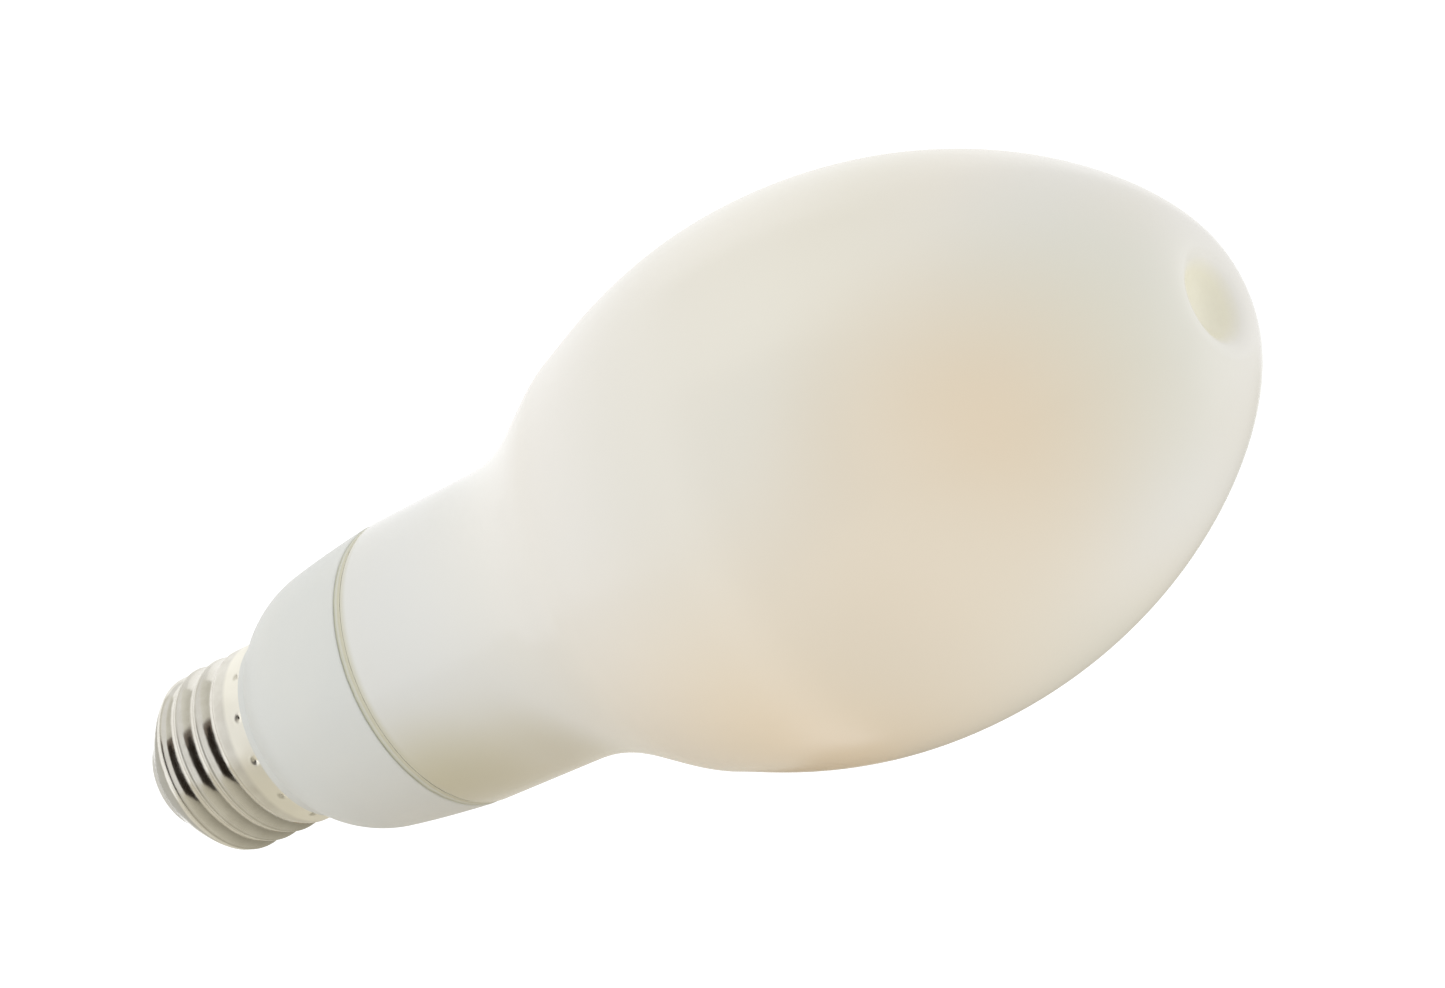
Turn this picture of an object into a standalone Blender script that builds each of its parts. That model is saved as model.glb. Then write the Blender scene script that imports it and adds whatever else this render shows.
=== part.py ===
"""Medium-screw replacement lamp: a dimpled milky bulb, a moulded collar and the driver inside it.

Metres, +Z towards the dome. The origin is the centre of the contact pin's flat face, and heights
are measured from there unless a name says otherwise. Outlines are (radius, height) pairs.
"""

import math

import bmesh
import bpy
from mathutils import Vector

# Clearances
GAP = 0.0003
GLUE_LINE = 0.0012

# Screw shell
THREAD_MAJOR = 0.0262
THREAD_MINOR = 0.0244
THREAD_PITCH = 0.003629
THREAD_LOW = 0.0092
THREAD_HIGH = 0.0209
THREAD_RUNOUT = 0.0014
GROOVE_HEIGHT = 0.01845
SHELL_TOP = 0.0249
SHELL_LOW = 0.0051
SHELL_MOUTH_RADIUS = 0.0093
SHELL_SHEET = 0.0003
CURL_TOP = 0.0103
CURL_LEAN = 0.0016
CURL_RISE = 0.0011
CURL_PULL = 0.0016

# Insulator and contact under the shell
FLANGE_TOP = 0.0076
INSULATOR_WAIST = 0.0047
INSULATOR_EDGE = 0.00257
INSULATOR_EDGE_RADIUS = 0.0069
INSULATOR_TIP_RADIUS = 0.0055
EYELET_RADIUS = 0.0048
EYELET_SHEET = 0.0004
EYELET_TUBE_RADIUS = 0.0019
EYELET_TUBE_TOP = 0.0045
PIN_HEAD_RADIUS = 0.0032
PIN_HEAD = 0.0008
PIN_TOP = 0.0061

# Collar, outside
COLLAR_NECK_RADIUS = 0.0134
COLLAR_NECK = 0.0010
COVE_HEIGHT = 0.0016
COVE_RADIUS = 0.01395
SHOULDER_HEIGHT = 0.0110
SHOULDER_SET_IN = 0.00168
SHOULDER_SLOPE = 0.17
SHOULDER_PULL_LOW = 0.0030
SHOULDER_PULL_HIGH = 0.0040
RIM_SLOPE = 0.105
RIM_ROUND = 0.0004

# Collar, inside
COLLAR_WALL = 0.00208
SOCKET_DEPTH = 0.0048
SOCKET_LEDGE = 0.0028
BAY_CLEARANCE = 0.00133
BAY_STEP = 0.0005
FUNNEL_ROOM = 0.0012
SPIGOT_WALL = 0.0014
SPIGOT_LOW = 0.0087
LAND_TAPER = 0.0009
RAIL_GRIP = 0.0010
RAIL_THICKNESS = 0.0011
RAIL_SET_DOWN = 0.0008

# Bulb: heights here are measured from the seam
SEAM_BAND = 0.0009
SEAM_RECESS = 0.0003
MOUTH_PROUD = 0.00012
MOUTH_ROUND = 0.0006
NECK_SPREAD = 0.00035
NECK_HEIGHT = 0.0170
FLARE_HEIGHT = 0.0418
FLARE_RADIUS = 0.03096
FLARE_SLOPE = 0.34
BELLY_HEIGHT = 0.0728
BELLY_RADIUS = 0.03769
CREST_HEIGHT = 0.1297
CREST_RADIUS = 0.0077
DIMPLE_DEPTH = 0.0036
DIMPLE_FLAT = 0.0042
DIMPLE_LIP = 0.0031
NECK_PULL = 0.0116
FLARE_PULL_LOW = 0.0064
FLARE_PULL_HIGH = 0.0045
BELLY_PULL_LOW = 0.0162
BELLY_PULL_HIGH = 0.0353
CREST_PULL = 0.0066
SEAL_ROUND = 0.0012
STEM_MOUTH_RADIUS = 0.0080
STEM_ROOF_RADIUS = 0.0052
STEM_DEPTH = 0.0085
EXHAUST_RADIUS = 0.0017

# Driver board
BOARD_THICKNESS = 0.0016
BOARD_OFFSET = 0.0030
BOARD_EDGE = 0.0006
BOARD_HEAD_LENGTH = 0.0105
BOARD_TAPER = 0.0035
BOARD_TOP_GAP = 0.0010
BOARD_LOW_GAP = 0.0018

# Choke
CHOKE_FLANGE_RADIUS = 0.0036
CHOKE_FLANGE = 0.0006
CHOKE_WIRE_RADIUS = 0.0032
CHOKE_TUBE = 0.0005
CHOKE_LEG_RADIUS = 0.0015
CORE_LENGTH = 0.0120
CORE_WALL = 0.0016
CORE_THICKNESS = 0.0044

# Round parts on the board
STORAGE_RADIUS = 0.0040
STORAGE_LENGTH = 0.0120
OUTPUT_RADIUS = 0.0031
OUTPUT_LENGTH = 0.0080
CAN_SHOULDER = 0.0005
CAN_GROOVE_HEIGHT = 0.0016
CAN_GROOVE_DEPTH = 0.0004
FILTER_RADIUS = 0.0030
FILTER_LENGTH = 0.0065
FILTER_RIM = 0.0011
FILTER_WAIST_RADIUS = 0.00255
FUSE_RADIUS = 0.0014
FUSE_LENGTH = 0.0068
FUSE_CAP = 0.0014
FUSE_WAIST_RADIUS = 0.0011
VARISTOR_RADIUS = 0.0035
VARISTOR_THICKNESS = 0.0028
PART_GAP = 0.0007
BOARD_PART_START = 0.0012
FILM_TO_CHOKE = 0.0026

# Block parts on the board: (out of the board, across it, along it)
FILM_BLOCK = (0.0045, 0.0110, 0.0050)
BRIDGE_BLOCK = (0.0016, 0.0047, 0.0038)
CHIP_BLOCK = (0.0015, 0.0040, 0.0050)
DIODE_BLOCK = (0.0018, 0.0026, 0.0044)
CHIP_SPREAD = 0.0055

# Leads
BARE_LEAD_RADIUS = 0.00025
WIRE_RADIUS = 0.0006
STEM_LEAD_SPREAD = 0.0036
BOARD_LEAD_SPREAD = 0.0042
LEAD_DROP = 0.0030
LEAD_KNEE = 0.0025
LEAD_BOW = 0.0003

# Facets
BULB_STEPS = 52
COLLAR_STEPS = 40
SHELL_STEPS = 40
SMALL_STEPS = 18
TINY_STEPS = 12
ROWS_PER_TURN = 6
CURL_STEPS = 7
MERGE = 0.000001

# Places that follow from the sizes above
SPIGOT_RADIUS = THREAD_MINOR / 2 - SHELL_SHEET - GAP
LAND_RADIUS = THREAD_MAJOR / 2 - SHELL_SHEET - GAP
BORE_RADIUS = SPIGOT_RADIUS - SPIGOT_WALL
EYELET_LOW = PIN_HEAD + GAP
INSULATOR_LOW = EYELET_LOW + EYELET_SHEET + GAP
COLLAR_LOW = SHELL_TOP + GAP

# The driver's parts stand in a row along the board, which sets its length and the collar's height
BOARD_LOW = SPIGOT_LOW + BOARD_LOW_GAP
PARTS_LOW = BOARD_LOW + BOARD_PART_START
FILM_LOW = PARTS_LOW + STORAGE_LENGTH + 2 * GAP
CORE_LOW = FILM_LOW + FILM_BLOCK[2] + FILM_TO_CHOKE
CORE_HEIGHT = 2 * (CHOKE_FLANGE_RADIUS + GAP + CORE_WALL)
BOARD_TOP = CORE_LOW + CORE_HEIGHT + GAP
HEAD_LOW = BOARD_TOP - BOARD_HEAD_LENGTH
HEAD_MIDDLE = BOARD_TOP - BOARD_HEAD_LENGTH / 2
BAY_FLOOR = HEAD_LOW + BAY_STEP
FUNNEL_FLOOR = HEAD_LOW - BOARD_TAPER - FUNNEL_ROOM
SOCKET_FLOOR = BOARD_TOP + BOARD_TOP_GAP
RIM_HEIGHT = SOCKET_FLOOR + SOCKET_DEPTH
SEAM_HEIGHT = RIM_HEIGHT + SEAM_BAND
SEAL_LOW = SOCKET_FLOOR + GAP
STEM_ROOF = SEAL_LOW + STEM_DEPTH

# What stands beside the choke and the storage capacitor sets the widths, out to the bulb's neck
BOARD_FRONT = -BOARD_OFFSET + BOARD_THICKNESS / 2
BOARD_BACK = -BOARD_OFFSET - BOARD_THICKNESS / 2
BOARD_TAIL_HALF = math.sqrt(BORE_RADIUS**2 - BOARD_BACK**2) - GAP
SIDE_RADIUS = max(OUTPUT_RADIUS, FILTER_RADIUS)
SIDE_LENGTH = max(OUTPUT_LENGTH, FILTER_LENGTH)
SIDE_PART_SPREAD = CORE_LENGTH / 2 + PART_GAP + SIDE_RADIUS
FUSE_SPREAD = STORAGE_RADIUS + PART_GAP + FUSE_RADIUS
VARISTOR_SPREAD = STORAGE_RADIUS + PART_GAP + VARISTOR_THICKNESS / 2
BOARD_HEAD_HALF = SIDE_PART_SPREAD + SIDE_RADIUS + BOARD_EDGE
BAY_RADIUS = math.hypot(SIDE_PART_SPREAD + SIDE_RADIUS, BOARD_FRONT + GAP + SIDE_LENGTH) + BAY_CLEARANCE
SOCKET_RADIUS = BAY_RADIUS + SOCKET_LEDGE
SEAL_RADIUS = SOCKET_RADIUS - GLUE_LINE
RIM_RADIUS = SOCKET_RADIUS + COLLAR_WALL
SHOULDER_RADIUS = RIM_RADIUS - SHOULDER_SET_IN
MOUTH_RADIUS = RIM_RADIUS + MOUTH_PROUD
NECK_RADIUS = MOUTH_RADIUS + NECK_SPREAD
CHOKE_CENTRE = Vector((BOARD_FRONT + GAP + CHOKE_FLANGE_RADIUS, 0, CORE_LOW + CORE_HEIGHT / 2))


def clear_scene():
    for obj in list(bpy.data.objects):
        bpy.data.objects.remove(obj, do_unlink=True)


def surface(name, colour, roughness, metallic=0.0, coat=0.0):
    """A Principled material with a linear base colour."""
    material = bpy.data.materials.new(name)
    material.use_nodes = True
    material.diffuse_color = (*colour, 1)
    shader = material.node_tree.nodes["Principled BSDF"]
    shader.inputs["Base Color"].default_value = (*colour, 1)
    shader.inputs["Roughness"].default_value = roughness
    shader.inputs["Metallic"].default_value = metallic
    shader.inputs["Coat Weight"].default_value = coat
    return material


def arc(centre, radius, start, end, steps):
    """Points on a circle in the outline's plane, from the start angle to the end angle in degrees."""
    points = []
    for i in range(steps + 1):
        angle = math.radians(start + (end - start) * i / steps)
        points.append((centre[0] + radius * math.cos(angle), centre[1] + radius * math.sin(angle)))
    return points


def curve(first, pull_first, pull_last, last, steps):
    """A cubic curve between two outline points; each pull is the offset of its control point."""
    controls = [
        Vector(first),
        Vector(first) + Vector(pull_first),
        Vector(last) + Vector(pull_last),
        Vector(last),
    ]
    points = []
    for i in range(steps + 1):
        t = i / steps
        weights = ((1 - t) ** 3, 3 * (1 - t) ** 2 * t, 3 * (1 - t) * t * t, t**3)
        point = sum((w * c for w, c in zip(weights, controls)), Vector((0, 0)))
        points.append((point.x, point.y))
    return points


def joined(*spans):
    """The spans as one outline, with the points that two spans share kept once."""
    outline = []
    for span in spans:
        for point in span:
            if not outline or math.dist(point, outline[-1]) > MERGE:
                outline.append(point)
    return outline


def moved_inwards(outline, distance):
    """A downward outline moved towards the axis, square to its own direction."""
    moved = []
    for i, (radius, height) in enumerate(outline):
        before = Vector(outline[max(i - 1, 0)])
        after = Vector(outline[min(i + 1, len(outline) - 1)])
        along = (after - before).normalized()
        moved.append((radius + along.y * distance, height - along.x * distance))
    return moved


def linked(name, mesh, material):
    obj = bpy.data.objects.new(name, mesh)
    obj.data.materials.append(material)
    bpy.context.scene.collection.objects.link(obj)
    return obj


def spun(outline, steps, closed):
    """An outline turned round Z."""
    form = bmesh.new()
    verts = [form.verts.new((radius, 0, height)) for radius, height in outline]
    edges = [form.edges.new(pair) for pair in zip(verts, verts[1:])]
    if closed:
        edges.append(form.edges.new((verts[-1], verts[0])))
    bmesh.ops.spin(
        form,
        geom=verts + edges,
        cent=(0, 0, 0),
        axis=(0, 0, 1),
        angle=2 * math.pi,
        steps=steps,
        use_merge=True,
    )
    bmesh.ops.remove_doubles(form, verts=form.verts, dist=MERGE)
    bmesh.ops.recalc_face_normals(form, faces=form.faces)
    return form


def finished(form, name, sharp_angle=32):
    """The form as a mesh, shaded smooth between edges that are sharper than the angle."""
    mesh = bpy.data.meshes.new(name)
    form.to_mesh(mesh)
    form.free()
    mesh.shade_smooth()
    mesh.set_sharp_from_angle(angle=math.radians(sharp_angle))
    return mesh


def turned(name, outline, material, steps, closed=False):
    return linked(name, finished(spun(outline, steps, closed), name), material)


def block(name, low, high, material, bevel=0.0):
    """A box between two corners, with its edges broken by the bevel."""
    form = bmesh.new()
    bmesh.ops.create_cube(form, size=1)
    low, high = Vector(low), Vector(high)
    for vert in form.verts:
        vert.co = (low + high) / 2 + Vector(c * s for c, s in zip(vert.co, high - low))
    if bevel:
        bmesh.ops.bevel(form, geom=form.edges[:], offset=bevel, segments=1, affect="EDGES")
    return linked(name, finished(form, name), material)


def cutter(obj):
    obj.hide_render = True
    obj.display_type = "WIRE"
    return obj


def combine(obj, other, operation):
    modifier = obj.modifiers.new(other.name, "BOOLEAN")
    modifier.operation = operation
    modifier.object = cutter(other)


def blend_in(height, start):
    """Rises smoothly from 0 to 1 over the thread's run-out."""
    share = min(max((height - start) / THREAD_RUNOUT, 0), 1)
    return share * share * (3 - 2 * share)


def groove_depth(height, azimuth):
    """How far the rolled thread dips below its crest: two tangent arcs a quarter pitch wide each."""
    depth = (THREAD_MAJOR - THREAD_MINOR) / 2
    quarter = THREAD_PITCH / 4
    bend = (quarter**2 + (depth / 2) ** 2) / depth
    turns = (azimuth + math.pi / 2) / (2 * math.pi)
    offset = (height - GROOVE_HEIGHT - turns * THREAD_PITCH) % THREAD_PITCH
    from_root = min(offset, THREAD_PITCH - offset)
    if from_root < quarter:
        dip = depth - bend + math.sqrt(bend**2 - from_root**2)
    else:
        dip = bend - math.sqrt(bend**2 - (2 * quarter - from_root) ** 2)
    return dip * blend_in(height, THREAD_LOW) * blend_in(THREAD_HIGH - height, 0)


def curl_outline(steps):
    """The shell's rounded lower end, from its widest ring down to its mouth."""
    return curve(
        (THREAD_MAJOR / 2, CURL_TOP),
        (0, -CURL_PULL),
        (CURL_LEAN, CURL_RISE),
        (SHELL_MOUTH_RADIUS, SHELL_LOW),
        steps,
    )


def make_screw_shell(material):
    """Rolled sheet: a plain band, the knuckle thread and a curled lower end."""
    wide = THREAD_MAJOR / 2
    rows = math.ceil((THREAD_HIGH - CURL_TOP) / THREAD_PITCH * ROWS_PER_TURN)
    drop = (THREAD_HIGH - CURL_TOP) / rows
    band = [(wide, SHELL_TOP)]
    wall = [(wide, THREAD_HIGH - drop * i) for i in range(rows + 1)]
    form = spun(joined(band, wall, curl_outline(CURL_STEPS)), SHELL_STEPS, False)
    for vert in form.verts:
        flat = vert.co.to_2d()
        dip = groove_depth(vert.co.z, math.atan2(flat.y, flat.x))
        vert.co.xy = flat * (1 - dip / flat.length)
    shell = linked("screw_shell", finished(form, "screw_shell"), material)
    sheet = shell.modifiers.new("sheet", "SOLIDIFY")
    sheet.thickness = SHELL_SHEET
    sheet.offset = -1
    sheet.use_even_offset = True
    return shell


def make_insulator(material):
    """Moulded plug whose flange lies in the shell's curl, with a bore for the contact."""
    bore = EYELET_TUBE_RADIUS + GAP
    seat = moved_inwards(curl_outline(CURL_STEPS), SHELL_SHEET + GAP)
    flange = [point for point in seat if INSULATOR_WAIST < point[1] < FLANGE_TOP]
    waist_radius = flange[-1][0]
    cone = [
        (waist_radius, INSULATOR_WAIST),
        (INSULATOR_EDGE_RADIUS, INSULATOR_EDGE),
        (INSULATOR_TIP_RADIUS, INSULATOR_LOW),
        (bore, INSULATOR_LOW),
    ]
    outline = joined([(bore, FLANGE_TOP), (flange[0][0], FLANGE_TOP)], flange, cone)
    return turned("base_insulator", outline, material, COLLAR_STEPS, closed=True)


def make_contact(brass, plated):
    """Pressed eyelet in the insulator, and the pin that is driven into it."""
    inside = EYELET_TUBE_RADIUS - EYELET_SHEET
    eyelet = [
        (inside, EYELET_TUBE_TOP),
        (EYELET_TUBE_RADIUS, EYELET_TUBE_TOP),
        (EYELET_TUBE_RADIUS, EYELET_LOW + EYELET_SHEET),
        (EYELET_RADIUS, EYELET_LOW + EYELET_SHEET),
        (EYELET_RADIUS, EYELET_LOW),
        (inside, EYELET_LOW),
    ]
    turned("contact_eyelet", eyelet, brass, SMALL_STEPS, closed=True)
    shank = inside - GAP
    edge = PIN_HEAD / 2
    pin = [
        (0, PIN_TOP),
        (shank, PIN_TOP),
        (shank, PIN_HEAD),
        (PIN_HEAD_RADIUS - edge, PIN_HEAD),
        (PIN_HEAD_RADIUS, edge),
        (PIN_HEAD_RADIUS - edge / 2, 0),
        (0, 0),
    ]
    turned("contact_pin", pin, plated, SMALL_STEPS)


def collar_outside():
    """The collar's skin, from the rim down to the neck that stands on the shell."""
    rim = arc((RIM_RADIUS - RIM_ROUND, RIM_HEIGHT - RIM_ROUND), RIM_ROUND, 90, 0, 2)
    shoulder = (SHOULDER_RADIUS, SHELL_TOP + SHOULDER_HEIGHT)
    cove = (COVE_RADIUS, SHELL_TOP + COVE_HEIGHT)
    neck = (COLLAR_NECK_RADIUS, SHELL_TOP + COLLAR_NECK)
    third = (rim[-1][1] - shoulder[1]) / 3
    side = curve(rim[-1], (-RIM_SLOPE * third, -third), (SHOULDER_SLOPE * third, third), shoulder, 4)
    flank = curve(
        shoulder,
        (-SHOULDER_SLOPE * SHOULDER_PULL_HIGH, -SHOULDER_PULL_HIGH),
        (SHOULDER_PULL_LOW * math.sqrt(0.5), SHOULDER_PULL_LOW * math.sqrt(0.5)),
        cove,
        7,
    )
    lean = (cove[0] - neck[0]) / 2
    return joined(rim, side, flank, curve(cove, (-lean, -lean), (0, lean / 2), neck, 2))


def make_collar(material):
    """Moulded shell: socket for the bulb, bay for the driver, and the spigot that carries the cap."""
    land_low = THREAD_HIGH + LAND_TAPER
    chamfer = SHELL_SHEET
    outline = joined(
        collar_outside(),
        [
            (COLLAR_NECK_RADIUS, COLLAR_LOW),
            (LAND_RADIUS, COLLAR_LOW),
            (LAND_RADIUS, land_low),
            (SPIGOT_RADIUS, THREAD_HIGH),
            (SPIGOT_RADIUS, SPIGOT_LOW + chamfer),
            (SPIGOT_RADIUS - chamfer, SPIGOT_LOW),
            (BORE_RADIUS, SPIGOT_LOW),
            (BORE_RADIUS, FUNNEL_FLOOR),
            (BAY_RADIUS, BAY_FLOOR),
            (BAY_RADIUS, SOCKET_FLOOR),
            (SOCKET_RADIUS, SOCKET_FLOOR),
            (SOCKET_RADIUS, RIM_HEIGHT),
        ],
    )
    collar = turned("base_collar", outline, material, COLLAR_STEPS, closed=True)
    for side in (-1, 1):
        for rail in make_rails(side, material):
            combine(collar, rail, "UNION")
    return collar


def make_rails(side, material):
    """The ribs that hold one edge of the board, and the stop under it."""
    inner = BOARD_TAIL_HALF - RAIL_GRIP
    low = BOARD_LOW - GAP
    front = (BOARD_FRONT + GAP, BOARD_FRONT + GAP + RAIL_THICKNESS)
    back = (BOARD_BACK - GAP - RAIL_THICKNESS, BOARD_BACK - GAP)
    ribs = (
        ("rail_front", front, low, FUNNEL_FLOOR - RAIL_SET_DOWN),
        ("rail_back", back, low, FUNNEL_FLOOR - RAIL_SET_DOWN),
        ("stop", (back[0], front[1]), low - RAIL_THICKNESS, low),
    )
    rails = []
    for label, (first, last), bottom, top in ribs:
        deepest = max(abs(first), abs(last))
        outer = math.sqrt((SPIGOT_RADIUS - SPIGOT_WALL / 3) ** 2 - deepest**2)
        ends = sorted((side * inner, side * outer))
        rails.append(block(f"{label}_{side}", (first, ends[0], bottom), (last, ends[1], top), material))
    return rails


def bulb_outside():
    """The blown glass from the dimple's centre down to the rounded mouth edge."""
    crest = (CREST_RADIUS, SEAM_HEIGHT + CREST_HEIGHT)
    belly = (BELLY_RADIUS, SEAM_HEIGHT + BELLY_HEIGHT)
    flare = (FLARE_RADIUS, SEAM_HEIGHT + FLARE_HEIGHT)
    neck = (NECK_RADIUS, SEAM_HEIGHT + NECK_HEIGHT)
    unit = math.hypot(1, FLARE_SLOPE)
    down = Vector((-FLARE_SLOPE, -1)) / unit
    dimple = curve((0, crest[1] - DIMPLE_DEPTH), (DIMPLE_FLAT, 0), (-DIMPLE_LIP, 0), crest, 6)
    dome = curve(crest, (CREST_PULL, 0), (0, BELLY_PULL_HIGH), belly, 12)
    hip = curve(belly, (0, -BELLY_PULL_LOW), -down * FLARE_PULL_HIGH, flare, 5)
    throat = curve(flare, down * FLARE_PULL_LOW, (0, NECK_PULL), neck, 6)
    mouth = arc((MOUTH_RADIUS - MOUTH_ROUND, SEAM_HEIGHT + MOUTH_ROUND), MOUTH_ROUND, 0, -90, 2)
    return joined(dimple, dome, hip, throat, mouth)


def make_bulb(material):
    """The sealed bulb in one piece, down to its seal, the funnel of its stem and the exhaust tip."""
    tip = BOARD_TOP
    outline = joined(
        bulb_outside(),
        [(SEAL_RADIUS, SEAM_HEIGHT)],
        arc((SEAL_RADIUS - SEAL_ROUND, SEAL_LOW + SEAL_ROUND), SEAL_ROUND, 0, -90, 2),
        [
            (STEM_MOUTH_RADIUS, SEAL_LOW),
            (STEM_ROOF_RADIUS, STEM_ROOF),
            (EXHAUST_RADIUS, STEM_ROOF),
            (EXHAUST_RADIUS, tip + EXHAUST_RADIUS),
            (EXHAUST_RADIUS / 2, tip),
            (0, tip),
        ],
    )
    return turned("glass_bulb", outline, material, BULB_STEPS)


def make_sealant(material):
    """The glue that fills the socket and shows as a narrow band under the glass."""
    lip = RIM_RADIUS - SEAM_RECESS
    inner = SEAL_RADIUS + GAP
    film = SOCKET_RADIUS - GAP
    outline = [
        (inner, SEAM_HEIGHT - GAP),
        (lip, SEAM_HEIGHT - GAP),
        (lip, RIM_HEIGHT + GAP),
        (film, RIM_HEIGHT + GAP),
        (film, SEAL_LOW),
        (inner, SEAL_LOW),
    ]
    return turned("seam_sealant", outline, material, COLLAR_STEPS, closed=True)


def make_board(material):
    """A T-shaped board: its wide head stands in the bay and its tail between the rails."""
    tail = BOARD_TAIL_HALF
    half = [
        (BOARD_HEAD_HALF, BOARD_TOP),
        (BOARD_HEAD_HALF, HEAD_LOW),
        (tail, HEAD_LOW - BOARD_TAPER),
        (tail, BOARD_LOW),
    ]
    outline = half + [(-y, z) for y, z in reversed(half)]
    form = bmesh.new()
    face = form.faces.new([form.verts.new((BOARD_BACK, y, z)) for y, z in outline])
    extruded = bmesh.ops.extrude_face_region(form, geom=[face])
    moved = [item for item in extruded["geom"] if isinstance(item, bmesh.types.BMVert)]
    bmesh.ops.translate(form, verts=moved, vec=(BOARD_THICKNESS, 0, 0))
    bmesh.ops.recalc_face_normals(form, faces=form.faces)
    return linked("driver_board", finished(form, "driver_board"), material)


def on_board(name, side, y, z, size, material):
    """A block part with its back on one face of the board: side 1 is the front."""
    out, across, along = size
    face = BOARD_FRONT if side > 0 else BOARD_BACK
    near, far = face + side * GAP, face + side * (GAP + out)
    low = (min(near, far), y - across / 2, z - along / 2)
    high = (max(near, far), y + across / 2, z + along / 2)
    return block(name, low, high, material, bevel=out / 12)


def can_outline(radius, length):
    """A can capacitor's outline with the rolled groove near its lower end."""
    return [
        (0, length),
        (radius - CAN_SHOULDER, length),
        (radius, length - CAN_SHOULDER),
        (radius, CAN_GROOVE_HEIGHT + CAN_GROOVE_DEPTH),
        (radius - CAN_GROOVE_DEPTH, CAN_GROOVE_HEIGHT),
        (radius, CAN_GROOVE_HEIGHT - CAN_GROOVE_DEPTH),
        (radius - CAN_SHOULDER / 2, 0),
        (0, 0),
    ]


def make_round_parts(sleeve, ceramic, winding):
    """The turned parts on the board's front, each lying or standing on its face."""
    storage = turned("storage_capacitor", can_outline(STORAGE_RADIUS, STORAGE_LENGTH), sleeve, SMALL_STEPS)
    storage.location = (BOARD_FRONT + GAP + STORAGE_RADIUS, 0, PARTS_LOW)
    output = turned("output_capacitor", can_outline(OUTPUT_RADIUS, OUTPUT_LENGTH), sleeve, SMALL_STEPS)
    output.rotation_euler = (0, math.pi / 2, 0)
    output.location = (BOARD_FRONT + GAP, SIDE_PART_SPREAD, HEAD_MIDDLE)
    drum = [
        (0, FILTER_LENGTH),
        (FILTER_RADIUS, FILTER_LENGTH),
        (FILTER_RADIUS, FILTER_LENGTH - FILTER_RIM),
        (FILTER_WAIST_RADIUS, FILTER_LENGTH - FILTER_RIM),
        (FILTER_WAIST_RADIUS, FILTER_RIM),
        (FILTER_RADIUS, FILTER_RIM),
        (FILTER_RADIUS, 0),
        (0, 0),
    ]
    choke = turned("filter_inductor", drum, winding, SMALL_STEPS)
    choke.rotation_euler = (0, math.pi / 2, 0)
    choke.location = (BOARD_FRONT + GAP, -SIDE_PART_SPREAD, HEAD_MIDDLE)
    body = [
        (0, FUSE_LENGTH),
        (FUSE_WAIST_RADIUS, FUSE_LENGTH),
        (FUSE_RADIUS, FUSE_LENGTH - FUSE_CAP / 2),
        (FUSE_WAIST_RADIUS, FUSE_LENGTH - FUSE_CAP),
        (FUSE_WAIST_RADIUS, FUSE_CAP),
        (FUSE_RADIUS, FUSE_CAP / 2),
        (FUSE_WAIST_RADIUS, 0),
        (0, 0),
    ]
    fuse = turned("fuse_resistor", body, ceramic, TINY_STEPS)
    fuse.location = (BOARD_FRONT + GAP + FUSE_RADIUS, -FUSE_SPREAD, PARTS_LOW)
    edge = VARISTOR_THICKNESS / 4
    disc = [
        (0, VARISTOR_THICKNESS),
        (VARISTOR_RADIUS - edge, VARISTOR_THICKNESS),
        (VARISTOR_RADIUS, VARISTOR_THICKNESS - edge),
        (VARISTOR_RADIUS, edge),
        (VARISTOR_RADIUS - edge, 0),
        (0, 0),
    ]
    varistor = turned("varistor", disc, ceramic, SMALL_STEPS)
    varistor.rotation_euler = (-math.pi / 2, 0, 0)
    varistor.location = (
        BOARD_FRONT + GAP + VARISTOR_RADIUS,
        VARISTOR_SPREAD - VARISTOR_THICKNESS / 2,
        PARTS_LOW + VARISTOR_RADIUS,
    )


def make_block_parts(film, moulding):
    """The boxed parts on both faces of the board."""
    on_board("film_capacitor", 1, 0, FILM_LOW + FILM_BLOCK[2] / 2, FILM_BLOCK, film)
    on_board("bridge_rectifier", -1, CHIP_SPREAD, HEAD_MIDDLE, BRIDGE_BLOCK, moulding)
    on_board("driver_chip", -1, -CHIP_SPREAD, HEAD_MIDDLE, CHIP_BLOCK, moulding)
    on_board("freewheel_diode", -1, 0, HEAD_MIDDLE, DIODE_BLOCK, moulding)


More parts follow.
